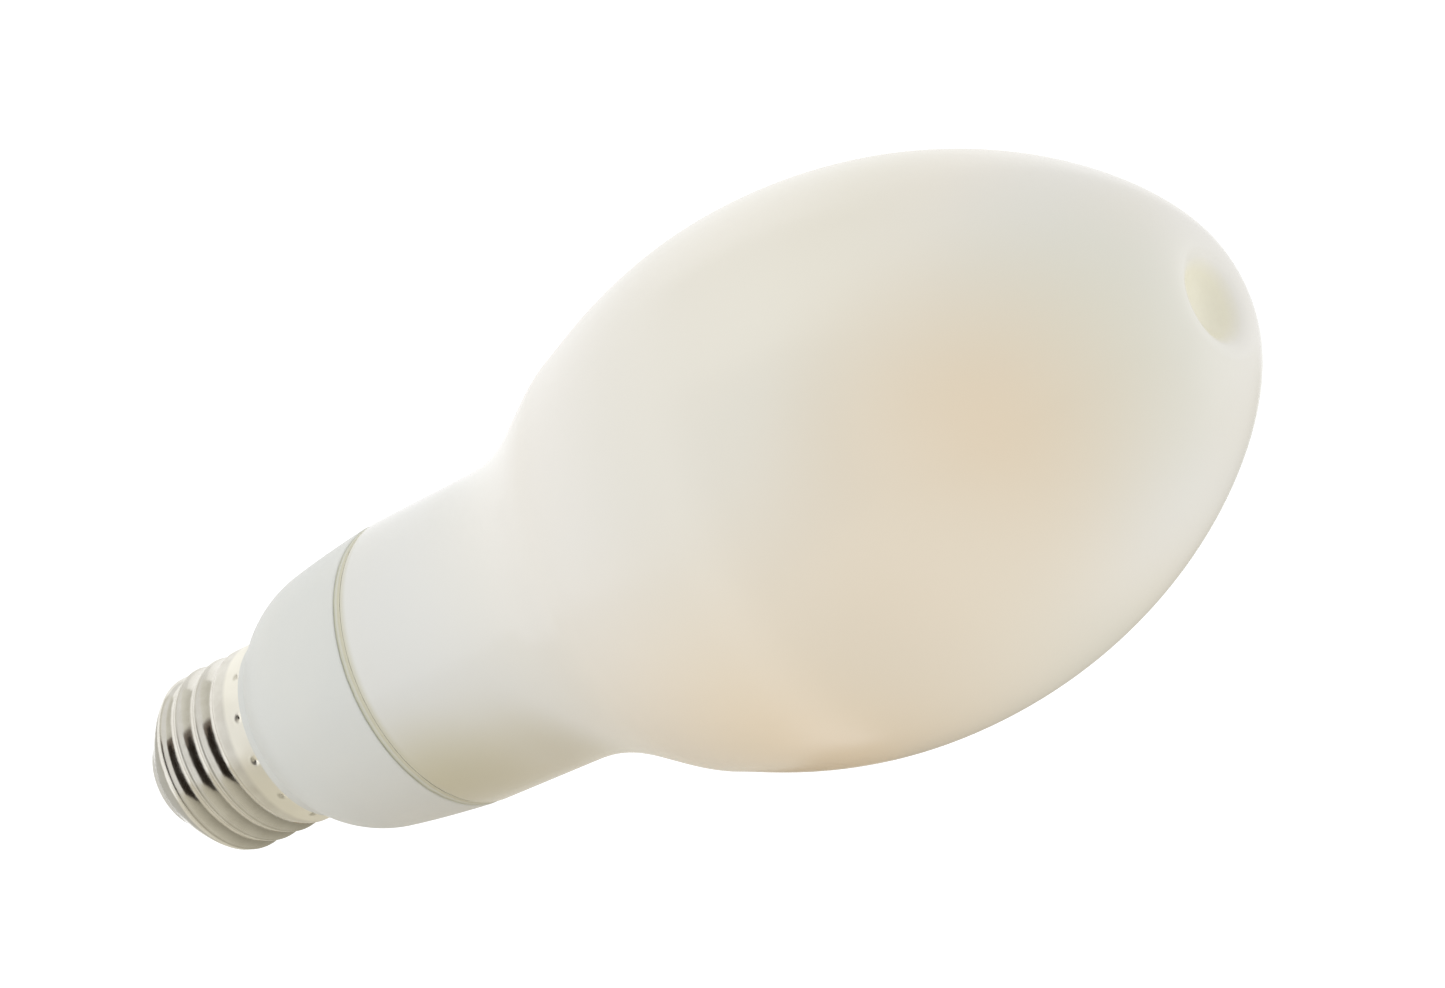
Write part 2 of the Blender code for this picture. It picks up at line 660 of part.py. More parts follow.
def make_choke(ferrite, nylon, copper):
    """A round-legged core, its spool and the winding on it, all on one axis along Y."""
    half = CORE_LENGTH / 2
    size = Vector((CORE_THICKNESS, CORE_LENGTH, CORE_HEIGHT)) / 2
    window = size - Vector((-CORE_WALL, CORE_WALL, CORE_WALL))
    core = block("choke_core", CHOKE_CENTRE - size, CHOKE_CENTRE + size, ferrite)
    hole = block("core_window", CHOKE_CENTRE - window, CHOKE_CENTRE + window, ferrite)
    reach = half - CORE_WALL / 2
    leg = turned(
        "core_leg",
        [(0, reach), (CHOKE_LEG_RADIUS, reach), (CHOKE_LEG_RADIUS, -reach), (0, -reach)],
        ferrite,
        SMALL_STEPS,
    )
    combine(core, hole, "DIFFERENCE")
    combine(core, leg, "UNION")
    tube_in = CHOKE_LEG_RADIUS + GAP
    tube_out = tube_in + CHOKE_TUBE
    spool_half = half - CORE_WALL - GAP
    inner_half = spool_half - CHOKE_FLANGE
    spool = [
        (tube_in, spool_half),
        (CHOKE_FLANGE_RADIUS, spool_half),
        (CHOKE_FLANGE_RADIUS, inner_half),
        (tube_out, inner_half),
        (tube_out, -inner_half),
        (CHOKE_FLANGE_RADIUS, -inner_half),
        (CHOKE_FLANGE_RADIUS, -spool_half),
        (tube_in, -spool_half),
    ]
    bobbin = turned("choke_bobbin", spool, nylon, SMALL_STEPS, closed=True)
    coil_half = inner_half - GAP
    coil_in = tube_out + GAP
    coil = [
        (coil_in, coil_half),
        (CHOKE_WIRE_RADIUS, coil_half),
        (CHOKE_WIRE_RADIUS, -coil_half),
        (coil_in, -coil_half),
    ]
    winding = turned("choke_winding", coil, copper, SMALL_STEPS, closed=True)
    for obj in (leg, bobbin, winding):
        obj.rotation_euler = (math.pi / 2, 0, 0)
        obj.location = CHOKE_CENTRE


def lead(name, route, radius, material):
    """A round wire along a smooth curve through the route's points."""
    data = bpy.data.curves.new(name, "CURVE")
    data.dimensions = "3D"
    data.bevel_depth = radius
    data.bevel_resolution = 1
    data.use_fill_caps = True
    ends = [route[0] * 2 - route[1], *route, route[-1] * 2 - route[-2]]
    points = []
    for i in range(len(route) - 1):
        a, b, c, d = ends[i : i + 4]
        for step in range(4):
            t = step / 4
            low = (2 * b) + (c - a) * t + (2 * a - 5 * b + 4 * c - d) * t**2
            points.append((low + (3 * b - a - 3 * c + d) * t**3) / 2)
    points.append(route[-1])
    spline = data.splines.new("POLY")
    spline.points.add(len(points) - 1)
    for point, place in zip(spline.points, points):
        point.co = (*place, 1)
    return linked(name, data, material)


def radius_at(outline, height):
    """The radius of a downward outline at a height, read between its points."""
    for above, below in zip(outline, outline[1:]):
        if below[1] <= height <= above[1]:
            share = (height - below[1]) / (above[1] - below[1])
            return below[0] + (above[0] - below[0]) * share
    return outline[-1][0]


def make_leads(wire, nickel):
    """The mains leads at the board's tail and the two stem leads at its head."""
    middle = -BOARD_OFFSET
    tail = BOARD_LOW - GAP
    over_flange = FLANGE_TOP + WIRE_RADIUS + 2 * GAP
    live = [
        Vector((middle, middle, tail)),
        Vector((middle * 0.85, middle * 0.85, (tail + over_flange) / 2)),
        Vector((middle * 0.4, middle * 0.4, over_flange)),
        Vector((0, 0, FLANGE_TOP)),
        Vector((0, 0, PIN_TOP + GAP)),
    ]
    lead("live_lead", live, WIRE_RADIUS, wire)
    run = (FLANGE_TOP + SPIGOT_LOW) / 2
    shell_inside = radius_at(moved_inwards(curl_outline(CURL_STEPS), SHELL_SHEET + GAP), run)
    neutral = [
        Vector((middle, -middle, tail)),
        Vector((middle, -middle * 1.2, (tail + run) / 2)),
        Vector((middle, -middle * 1.9, run)),
        Vector((middle, math.sqrt(shell_inside**2 - middle**2), run)),
    ]
    lead("neutral_lead", neutral, BARE_LEAD_RADIUS, nickel)
    for label, side in (("positive", 1), ("negative", -1)):
        route = [
            Vector((0, side * STEM_LEAD_SPREAD, STEM_ROOF - GAP)),
            Vector((-LEAD_BOW, side * STEM_LEAD_SPREAD, STEM_ROOF - LEAD_DROP)),
            Vector((middle + LEAD_BOW, side * BOARD_LEAD_SPREAD, BOARD_TOP + LEAD_KNEE)),
            Vector((middle, side * BOARD_LEAD_SPREAD, BOARD_TOP + GAP)),
        ]
        lead(f"stem_lead_{label}", route, BARE_LEAD_RADIUS, nickel)


def build():
    clear_scene()
    nickel = surface("nickel_plate", (0.72, 0.69, 0.62), 0.24, metallic=1.0)
    brass = surface("brass", (0.72, 0.52, 0.24), 0.35, metallic=1.0)
    opal = surface("milky_glass", (0.74, 0.67, 0.55), 0.18, coat=0.6)
    white = surface("white_plastic", (0.72, 0.72, 0.68), 0.42)
    glue = surface("sealant", (0.55, 0.48, 0.36), 0.6)
    black = surface("black_moulding", (0.03, 0.03, 0.032), 0.4)
    make_bulb(opal)
    make_sealant(glue)
    make_collar(white)
    make_screw_shell(nickel)
    make_insulator(surface("cream_moulding", (0.62, 0.6, 0.54), 0.4))
    make_contact(brass, nickel)
    make_board(surface("board_laminate", (0.05, 0.22, 0.1), 0.5))
    make_choke(
        surface("ferrite", (0.06, 0.055, 0.05), 0.6),
        surface("nylon", (0.55, 0.53, 0.45), 0.5),
        surface("enamelled_copper", (0.5, 0.17, 0.06), 0.3, metallic=0.6),
    )
    sleeve = surface("can_sleeve", (0.02, 0.03, 0.08), 0.35)
    ceramic = surface("blue_ceramic", (0.05, 0.2, 0.42), 0.45)
    make_round_parts(sleeve, ceramic, surface("shrink_sleeve", (0.02, 0.02, 0.02), 0.5))
    make_block_parts(surface("film_case", (0.5, 0.07, 0.03), 0.4), black)
    make_leads(surface("wire_insulation", (0.45, 0.02, 0.02), 0.5), nickel)


build()
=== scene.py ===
"""The looks of a medium-screw replacement lamp: milky glass, moulded collar and rolled cap.

Metres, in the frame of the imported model: +Z runs along the lamp's axis towards the dome, and the
origin is the centre of the contact pin's flat face. Outlines are (radius, height) pairs.
"""

import math

import bmesh
import bpy
from mathutils import Matrix, Vector, noise


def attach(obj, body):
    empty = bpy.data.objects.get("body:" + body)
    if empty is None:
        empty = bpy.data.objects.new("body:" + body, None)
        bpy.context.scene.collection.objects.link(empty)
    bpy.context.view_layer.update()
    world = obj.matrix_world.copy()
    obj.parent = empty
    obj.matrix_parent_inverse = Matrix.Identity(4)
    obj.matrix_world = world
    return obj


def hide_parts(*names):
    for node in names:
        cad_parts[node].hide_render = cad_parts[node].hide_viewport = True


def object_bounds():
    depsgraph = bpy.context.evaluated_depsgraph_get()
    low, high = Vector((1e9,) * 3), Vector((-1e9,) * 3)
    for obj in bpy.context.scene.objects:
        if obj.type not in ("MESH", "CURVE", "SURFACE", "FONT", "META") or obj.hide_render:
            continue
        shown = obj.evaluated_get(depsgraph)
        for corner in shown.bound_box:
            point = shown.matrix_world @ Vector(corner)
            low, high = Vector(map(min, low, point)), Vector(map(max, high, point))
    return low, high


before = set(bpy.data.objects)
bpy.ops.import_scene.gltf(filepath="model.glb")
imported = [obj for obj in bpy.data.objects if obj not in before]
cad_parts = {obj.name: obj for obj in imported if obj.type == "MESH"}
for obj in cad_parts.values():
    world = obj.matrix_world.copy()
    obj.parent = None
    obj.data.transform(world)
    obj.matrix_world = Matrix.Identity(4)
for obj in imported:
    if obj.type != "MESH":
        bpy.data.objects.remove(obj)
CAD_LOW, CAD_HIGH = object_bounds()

BODY = "root"

# The photograph's camera
CAMERA_AIM = Vector((-0.00413, 0.0, 0.10182))
CAMERA_DISTANCE = 0.84993
CAMERA_AZIMUTH = 0.3286
CAMERA_ELEVATION = 32.075
CAMERA_ROLL = -64.80
CAMERA_LENS = 161.94
SENSOR_WIDTH = 36.0

# Clearances
GAP = 0.0003
JOINT_LINE = 0.00006
GLUE_LINE = 0.0012

# The hand-laid glue's ripples: how many to a metre, and how high
GLUE_RIPPLES = ((900, 0.00007), (240, 0.00006))

# Screw shell
THREAD_MAJOR = 0.0262
THREAD_MINOR = 0.0244
THREAD_PITCH = 0.003629
THREAD_LOW = 0.0092
THREAD_HIGH = 0.0209
THREAD_RUNOUT = 0.0014
THREAD_FADE = 0.0007
ROOT_HEIGHT = 0.01945
LAST_ROOT = 0.0200
LOWER_FLANK = 0.0025
LOWER_HOLLOW = 0.955
UPPER_HOLLOW = 0.25
SHELL_TOP = 0.0249
SHELL_LOW = 0.0051
SHELL_MOUTH_RADIUS = 0.0093
SHELL_SHEET = 0.0003
CURL_TOP = 0.0103
CURL_LEAN = 0.0021
CURL_RISE = 0.0022
CURL_PULL = 0.0012

# Punch marks that lock the shell onto the collar's spigot
PUNCH_COUNT = 13
PUNCH_HEIGHT = 0.0243
PUNCH_AZIMUTH = math.radians(-90 + 7.45)
PUNCH_RADIUS = 0.00056
PUNCH_DEPTH = 0.00026

# A punch mark's profile, with distances in punch radii
DENT_FALL = 1.6
SWELL_SHARE = 0.10
SWELL_REACH = 1.35
SWELL_FALL = 9
MARK_END = 2.2

# Insulator and contact
FLANGE_TOP = 0.0076
INSULATOR_WAIST = 0.0047
INSULATOR_EDGE = 0.00257
INSULATOR_EDGE_RADIUS = 0.0069
INSULATOR_TIP_RADIUS = 0.0055
EDGE_START = 0.3
EDGE_END = 0.5
EDGE_PULLS = ((-0.0003, -0.0005), (0.0005, 0.0003))
EYELET_RADIUS = 0.0048
EYELET_SHEET = 0.0004
EYELET_TUBE_RADIUS = 0.0019
EYELET_TUBE_TOP = 0.0045
PIN_HEAD_RADIUS = 0.0032
PIN_HEAD = 0.0008
PIN_TOP = 0.0061

# Collar, outside
COLLAR_NECK_RADIUS = 0.0134
COLLAR_NECK = 0.0010
COVE_HEIGHT = 0.0016
COVE_RADIUS = 0.01395
SHOULDER_HEIGHT = 0.0110
SHOULDER_RADIUS = 0.0188
SHOULDER_SLOPE = 0.17
SHOULDER_PULL_LOW = 0.0030
SHOULDER_PULL_HIGH = 0.0040
RIM_RADIUS = 0.02048
RIM_HEIGHT = 0.0490
RIM_SLOPE = 0.105
RIM_ROUND = 0.0003

# Collar, inside
SOCKET_RADIUS = 0.0184
SOCKET_FLOOR = 0.0442
BAY_RADIUS = 0.0156
BAY_FLOOR = 0.0332
FUNNEL_FLOOR = 0.0280
SPIGOT_WALL = 0.0014
SPIGOT_LOW = 0.0087
LAND_TAPER = 0.0009
RAIL_FRONT = (-0.0019, -0.0008)
RAIL_BACK = (-0.0052, -0.0041)
RAIL_INNER = 0.00817
RAIL_LOW = 0.0102
RAIL_SET_DOWN = 0.0008
STOP_THICKNESS = 0.0011

# Bulb: heights here are measured from the seam
SEAM_HEIGHT = 0.0499
SEAM_RECESS = 0.00005
MOUTH_RADIUS = 0.0206
MOUTH_ROUND = 0.0009
NECK_RADIUS = 0.02095
NECK_HEIGHT = 0.0170
FLARE_HEIGHT = 0.0418
FLARE_RADIUS = 0.03096
FLARE_SLOPE = 0.34
BELLY_HEIGHT = 0.0728
BELLY_RADIUS = 0.03769
CREST_HEIGHT = 0.1297
CREST_RADIUS = 0.0077
DIMPLE_DEPTH = 0.0036
DIMPLE_FLAT = 0.0046
DIMPLE_LIP = 0.0034
NECK_PULL = 0.0116
FLARE_PULL_LOW = 0.0064
FLARE_PULL_HIGH = 0.0045
BELLY_PULL_LOW = 0.0162
BELLY_PULL_HIGH = 0.0353
CREST_PULL = 0.0066
SEAL_ROUND = 0.0012
STEM_MOUTH_RADIUS = 0.0080
STEM_ROOF_RADIUS = 0.0052
STEM_DEPTH = 0.0085
EXHAUST_RADIUS = 0.0017
EXHAUST_TIP = 0.0432

# Places that follow
SEAL_RADIUS = SOCKET_RADIUS - GLUE_LINE
SEAL_LOW = SOCKET_FLOOR + GAP
SPIGOT_RADIUS = THREAD_MINOR / 2 - SHELL_SHEET - GAP
LAND_RADIUS = THREAD_MAJOR / 2 - SHELL_SHEET - GAP
BORE_RADIUS = SPIGOT_RADIUS - SPIGOT_WALL
EYELET_LOW = PIN_HEAD + GAP
INSULATOR_LOW = EYELET_LOW + EYELET_SHEET + GAP

# The milky coat's tone by share of the way from the seam up to the glass's crest
COAT_TONES = [
    (0.0, (0.707, 0.706, 0.670)),
    (0.094, (0.731, 0.731, 0.699)),
    (0.194, (0.778, 0.765, 0.713)),
    (0.294, (0.793, 0.767, 0.703)),
    (0.386, (0.792, 0.768, 0.709)),
    (0.479, (0.768, 0.743, 0.672)),
    (0.571, (0.785, 0.756, 0.675)),
    (0.664, (0.775, 0.745, 0.657)),
    (0.756, (0.749, 0.716, 0.623)),
    (0.833, (0.748, 0.714, 0.635)),
    (0.911, (0.717, 0.698, 0.646)),
    (0.972, (0.698, 0.677, 0.625)),
    (1.0, (0.699, 0.683, 0.645)),
]

# Soft spots of painted light and shade on the glass: painted warm light and shade on the belly and dome, and
# painted shade under the neck beside the glue. Centre, reach and colour
PAINTED_LIGHT_SPOTS = [
    ((-0.0016, -0.0210, 0.1698), 0.033, (0.660, 0.658, 0.570)),
    ((0.0030, -0.0293, 0.1570), 0.031, (0.740, 0.622, 0.460)),
    ((0.0299, -0.0225, 0.1130), 0.042, (0.915, 0.780, 0.590)),
    ((0.0176, -0.0315, 0.1386), 0.033, (0.800, 0.707, 0.567)),
    ((0.0173, -0.0116, 0.0610), 0.019, (0.645, 0.610, 0.472)),
    ((0.0180, -0.0109, 0.0690), 0.014, (0.690, 0.660, 0.550)),
    ((0.0150, -0.0138, 0.0515), 0.016, (0.595, 0.558, 0.410)),
]

# The heights over the seam between which the smear of glue on the glass fades out
SMEAR_START = 0.0003
SMEAR_END = 0.0017

# Where the painted light in the dimple begins, as shares of the glass's height, and the radii where it fades:
# a lighter, warmer colour that lifts the shade of its hollow
DIMPLE_LIGHT_SHARES = (0.95, 0.96)
DIMPLE_LIGHT_RADII = (0.0044, 0.0060)

# The radius from which the plate on the thread's crests is worn
WORN_RADIUS = 0.01275

# The clear surface of glass, plastic and paint
SURFACE_IOR = 1.5

# Facets
GLASS_STEPS = 224
COLLAR_STEPS = 192
SHELL_STEPS = 390
CONTACT_STEPS = 96
BAND_ROWS = 22
THREAD_ROWS = 84
CURL_ROWS = 16
MERGE = 0.0000005

# Studio
SEEN_RAYS = ("Is Camera Ray", "Is Glossy Ray", "Is Transmission Ray")
MIRROR_RAYS = ("Is Glossy Ray",)
WORLD_LEVEL = 0.95
MIRROR_LEVEL = 0.89
SOFTBOX_SIZE = 0.7
BOARD_WIDTH = 0.12
CARD_STEPS = 16
FLOOR_DROP = 0.30
FLOOR_SIZE = 6.0
FLOOR_PAPER = 0.8
FLOOR_SEEN = 0.45
FLOOR_GLOW = 0.68
WHITE = (1.0, 1.0, 1.0, 1.0)
CARD_CENTRE = Vector((0.0, 0.0, 0.017))


def back_vector(azimuth, elevation):
    """The direction from the object to a camera at that azimuth and elevation in degrees."""
    a, e = math.radians(azimuth), math.radians(elevation)
    return Vector((math.sin(a) * math.cos(e), -math.cos(a) * math.cos(e), math.sin(e)))


def camera_axes():
    """The picture's right, up and backward directions."""
    back = back_vector(CAMERA_AZIMUTH, CAMERA_ELEVATION)
    level = (-back).cross(Vector((0, 0, 1))).normalized()
    plumb = level.cross(-back)
    roll = math.radians(CAMERA_ROLL)
    up = plumb * math.cos(roll) + level * math.sin(roll)
    right = level * math.cos(roll) - plumb * math.sin(roll)
    return right, up, back


RIGHT, UP, BACK = camera_axes()


def make_camera():
    """The camera that took the photograph, as fitted to its outline."""
    data = bpy.data.cameras.new("camera")
    data.lens = CAMERA_LENS
    data.sensor_width = SENSOR_WIDTH
    data.sensor_fit = "HORIZONTAL"
    data.clip_start, data.clip_end = 0.01, 50
    camera = bpy.data.objects.new("camera", data)
    turn = Matrix((RIGHT, UP, BACK)).transposed().to_4x4()
    camera.matrix_world = Matrix.Translation(CAMERA_AIM + BACK * CAMERA_DISTANCE) @ turn
    bpy.context.scene.collection.objects.link(camera)
    bpy.context.scene.camera = camera


class Look:
    """A Principled material and the nodes that feed it."""

    def __init__(self, name, colour, roughness, metallic=0.0):
        self.material = bpy.data.materials.new(name)
        self.material.use_nodes = True
        self.tree = self.material.node_tree
        self.shader = self.tree.nodes["Principled BSDF"]
        self.set("Base Color", (*colour, 1))
        self.set("Roughness", roughness)
        self.set("Metallic", metallic)
        self.set("IOR", SURFACE_IOR)
        self.place = self.node("ShaderNodeTexCoord").outputs["Object"]

    def set(self, socket, value):
        """Gives the shader's socket a plain value."""
        self.shader.inputs[socket].default_value = value

    def feed(self, socket, output):
        """Links an output to the shader's socket."""
        self.tree.links.new(output, self.shader.inputs[socket])

    def node(self, kind, inputs=None, **settings):
        """A new node; each of its inputs is a plain value or another node's output."""
        made = self.tree.nodes.new(kind)
        for name, value in settings.items():
            setattr(made, name, value)
        for name, value in (inputs or {}).items():
            if isinstance(value, bpy.types.NodeSocket):
                self.tree.links.new(value, made.inputs[name])
            else:
                made.inputs[name].default_value = value
        return made

    def stretched(self, scale):
        """Object coordinates, scaled by a factor on each axis."""
        return self.node("ShaderNodeMapping", {"Vector": self.place, "Scale": scale}).outputs[0]

    def noise(self, scale, detail=3.0, rough=0.5, stretch=None):
        """Noise in object coordinates, which the stretch scales on each axis."""
        vector = self.stretched(stretch) if stretch else self.place
        inputs = {"Vector": vector, "Scale": scale, "Detail": detail, "Roughness": rough}
        return self.node("ShaderNodeTexNoise", inputs).outputs["Fac"]

    def math(self, operation, first, second=0.0, third=0.0):
        """One step of arithmetic on plain values or outputs."""
        made = self.node("ShaderNodeMath", operation=operation)
        for socket, value in zip(made.inputs, (first, second, third)):
            if isinstance(value, bpy.types.NodeSocket):
                self.tree.links.new(value, socket)
            else:
                socket.default_value = value
        return made.outputs[0]

    def span(self, value, low, high, to_low=0.0, to_high=1.0, smooth=False):
        """The value, mapped from one range to another and held inside it."""
        inputs = {"Value": value, "From Min": low, "From Max": high, "To Min": to_low, "To Max": to_high}
        made = self.node("ShaderNodeMapRange", inputs, clamp=True)
        if smooth:
            made.interpolation_type = "SMOOTHSTEP"
        return made.outputs[0]

    def ramp(self, value, stops):
        """A colour ramp with (place, colour) stops."""
        made = self.node("ShaderNodeValToRGB", {"Fac": value})
        elements = made.color_ramp.elements
        while len(elements) < len(stops):
            elements.new(0.5)
        for element, (place, colour) in zip(elements, stops):
            element.position = place
            element.color = (*colour, 1)
        made.color_ramp.interpolation = "EASE" if len(stops) == 2 else "CARDINAL"
        return made.outputs["Color"]

    def mix(self, factor, first, second):
        """The first colour at a factor of 0, and the second at 1."""
        made = self.node("ShaderNodeMix", data_type="RGBA")
        for name, value in (("Factor", factor), ("A", first), ("B", second)):
            socket = next(s for s in made.inputs if s.name == name and s.enabled)
            if isinstance(value, bpy.types.NodeSocket):
                self.tree.links.new(value, socket)
            else:
                socket.default_value = value if name == "Factor" else (*value, 1)
        return next(s for s in made.outputs if s.enabled)

    def heights(self):
        """The height above the contact face."""
        return self.node("ShaderNodeSeparateXYZ", {"Vector": self.place}).outputs["Z"]

    def radii(self):
        """The distance from the lamp's axis."""
        x, y, _ = self.node("ShaderNodeSeparateXYZ", {"Vector": self.place}).outputs
        return self.math("SQRT", self.math("MULTIPLY_ADD", x, x, self.math("MULTIPLY", y, y)))

    def spot(self, centre, size):
        """1 at a place in the object, falling softly to 0 at that distance from it."""
        inputs = {0: self.place, 1: centre}
        away = self.node("ShaderNodeVectorMath", inputs, operation="DISTANCE").outputs["Value"]
        return self.span(away, 0.0, size, 1.0, 0.0, smooth=True)

    def bump(self, height, distance, strength=1.0, normal=None):
        """The normal of a surface that rises by the distance where the height goes from 0 to 1."""
        inputs = {"Height": height, "Distance": distance, "Strength": strength}
        if normal:
            inputs["Normal"] = normal
        return self.node("ShaderNodeBump", inputs).outputs["Normal"]


def arc(centre, radius, start, end, steps):
    """Points on a circle in the outline's plane, from the start angle to the end angle in degrees."""
    points = []
    for i in range(steps + 1):
        angle = math.radians(start + (end - start) * i / steps)
        points.append((centre[0] + radius * math.cos(angle), centre[1] + radius * math.sin(angle)))
    return points


def curve(first, pull_first, pull_last, last, steps):
    """A cubic curve between two outline points; each pull is the offset of its control point."""
    controls = [
        Vector(first),
        Vector(first) + Vector(pull_first),
        Vector(last) + Vector(pull_last),
        Vector(last),
    ]
    points = []
    for i in range(steps + 1):
        t = i / steps
        weights = ((1 - t) ** 3, 3 * (1 - t) ** 2 * t, 3 * (1 - t) * t * t, t**3)
        point = sum((w * c for w, c in zip(weights, controls)), Vector((0, 0)))
        points.append((point.x, point.y))
    return points


def line(first, last, steps):
    """Evenly spaced points on a straight stretch."""
    a, b = Vector(first), Vector(last)
    return [tuple(a.lerp(b, i / steps)) for i in range(steps + 1)]


def between(first, last, share):
    """The point at that share of the way from the first to the last."""
    return tuple(Vector(first).lerp(Vector(last), share))


def joined(*spans):
    """The spans as one outline, with the points that two spans share kept once."""
    outline = []
    for span in spans:
        for point in span:
            if not outline or math.dist(point, outline[-1]) > MERGE:
                outline.append(point)
    return outline


def moved_inwards(outline, distance):
    """A downward outline moved towards the axis, square to its own direction."""
    moved = []
    for i, (radius, height) in enumerate(outline):
        before = Vector(outline[max(i - 1, 0)])
        after = Vector(outline[min(i + 1, len(outline) - 1)])
        along = (after - before).normalized()
        moved.append((radius + along.y * distance, height - along.x * distance))
    return moved


def spun(outline, steps, closed):
    """An outline turned round Z."""
    form = bmesh.new()
    verts = [form.verts.new((radius, 0, height)) for radius, height in outline]
    edges = [form.edges.new(pair) for pair in zip(verts, verts[1:])]
    if closed:
        edges.append(form.edges.new((verts[-1], verts[0])))
    bmesh.ops.spin(
        form,
        geom=verts + edges,
        cent=(0, 0, 0),
        axis=(0, 0, 1),
        angle=2 * math.pi,
        steps=steps,
        use_merge=True,
    )
    bmesh.ops.remove_doubles(form, verts=form.verts, dist=MERGE)
    bmesh.ops.recalc_face_normals(form, faces=form.faces)
    return form


def shown(name, form, look, node, sharp_angle=35):
    """The form as a piece that stands for a CAD node."""
    mesh = bpy.data.meshes.new(name)
    form.to_mesh(mesh)
    form.free()
    mesh.shade_smooth()
    mesh.set_sharp_from_angle(angle=math.radians(sharp_angle))
    piece = bpy.data.objects.new(name, mesh)
    piece.data.materials.append(look.material)
    bpy.context.scene.collection.objects.link(piece)
    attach(piece, BODY)
    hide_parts(node)
    return piece


def glass_outline():
    """The blown glass from the dimple's centre down to its rounded mouth edge."""
    crest = (CREST_RADIUS, SEAM_HEIGHT + CREST_HEIGHT)
    belly = (BELLY_RADIUS, SEAM_HEIGHT + BELLY_HEIGHT)
    flare = (FLARE_RADIUS, SEAM_HEIGHT + FLARE_HEIGHT)
    neck = (NECK_RADIUS, SEAM_HEIGHT + NECK_HEIGHT)
    down = Vector((-FLARE_SLOPE, -1)).normalized()
    dimple = curve((0, crest[1] - DIMPLE_DEPTH), (DIMPLE_FLAT, 0), (-DIMPLE_LIP, 0), crest, 24)
    dome = curve(crest, (CREST_PULL, 0), (0, BELLY_PULL_HIGH), belly, 54)
    hip = curve(belly, (0, -BELLY_PULL_LOW), -down * FLARE_PULL_HIGH, flare, 24)
    throat = curve(flare, down * FLARE_PULL_LOW, (0, NECK_PULL), neck, 26)
    mouth = arc((MOUTH_RADIUS - MOUTH_ROUND, SEAM_HEIGHT + MOUTH_ROUND), MOUTH_ROUND, 0, -90, 8)
    return joined(dimple, dome, hip, throat, line(neck, mouth[0], 10), mouth)


def make_glass(look):
    """The sealed bulb, with its seal, the funnel of its stem and the exhaust tip below."""
    outline = joined(
        glass_outline(),
        [(SEAL_RADIUS, SEAM_HEIGHT)],
        arc((SEAL_RADIUS - SEAL_ROUND, SEAL_LOW + SEAL_ROUND), SEAL_ROUND, 0, -90, 6),
        [
            (STEM_MOUTH_RADIUS, SEAL_LOW),
            (STEM_ROOF_RADIUS, SEAL_LOW + STEM_DEPTH),
            (EXHAUST_RADIUS, SEAL_LOW + STEM_DEPTH),
            (EXHAUST_RADIUS, EXHAUST_TIP + EXHAUST_RADIUS),
            (EXHAUST_RADIUS / 2, EXHAUST_TIP),
            (0, EXHAUST_TIP),
        ],
    )
    shown("milky_bulb", spun(outline, GLASS_STEPS, False), look, "glass_bulb")


def make_glue(look):
    """The glue in the socket, which fills the rounding of the glass's mouth as a hand-laid band."""
    lip = RIM_RADIUS - SEAM_RECESS
    inner = SEAL_RADIUS + GAP
    film = SOCKET_RADIUS - GAP
    low = RIM_HEIGHT + JOINT_LINE / 3
    rounding = (MOUTH_RADIUS - MOUTH_ROUND, SEAM_HEIGHT + MOUTH_ROUND)
    fillet = arc(rounding, MOUTH_ROUND + JOINT_LINE / 3, -90, -38, 6)
    outline = joined(
        [(inner, SEAM_HEIGHT - JOINT_LINE / 3)],
        fillet,
        line((lip, fillet[-1][1]), (lip, low + GAP / 2), 6),
        [(lip - GAP, low), (film, low), (film, SEAL_LOW), (inner, SEAL_LOW)],
    )
    form = spun(outline, COLLAR_STEPS * 2, True)
    for vert in form.verts:
        if vert.co.to_2d().length > lip - MERGE:
            swell = sum(noise.noise(vert.co * scale) * height for scale, height in GLUE_RIPPLES)
            vert.co.xy *= 1 + max(swell, 0) / lip
    shown("seam_glue", form, look, "seam_sealant")


def collar_outside():
    """The collar's skin, from the rim down to the neck that stands on the shell."""
    rim = arc((RIM_RADIUS - RIM_ROUND, RIM_HEIGHT - RIM_ROUND), RIM_ROUND, 90, 0, 8)
    shoulder = (SHOULDER_RADIUS, SHELL_TOP + SHOULDER_HEIGHT)
    cove = (COVE_RADIUS, SHELL_TOP + COVE_HEIGHT)
    neck = (COLLAR_NECK_RADIUS, SHELL_TOP + COLLAR_NECK)
    third = (rim[-1][1] - shoulder[1]) / 3
    side = curve(rim[-1], (-RIM_SLOPE * third, -third), (SHOULDER_SLOPE * third, third), shoulder, 20)
    flank = curve(
        shoulder,
        (-SHOULDER_SLOPE * SHOULDER_PULL_HIGH, -SHOULDER_PULL_HIGH),
        (SHOULDER_PULL_LOW * math.sqrt(0.5), SHOULDER_PULL_LOW * math.sqrt(0.5)),
        cove,
        32,
    )
    lean = (cove[0] - neck[0]) / 2
    return joined(rim, side, flank, curve(cove, (-lean, -lean), (0, lean / 2), neck, 8))


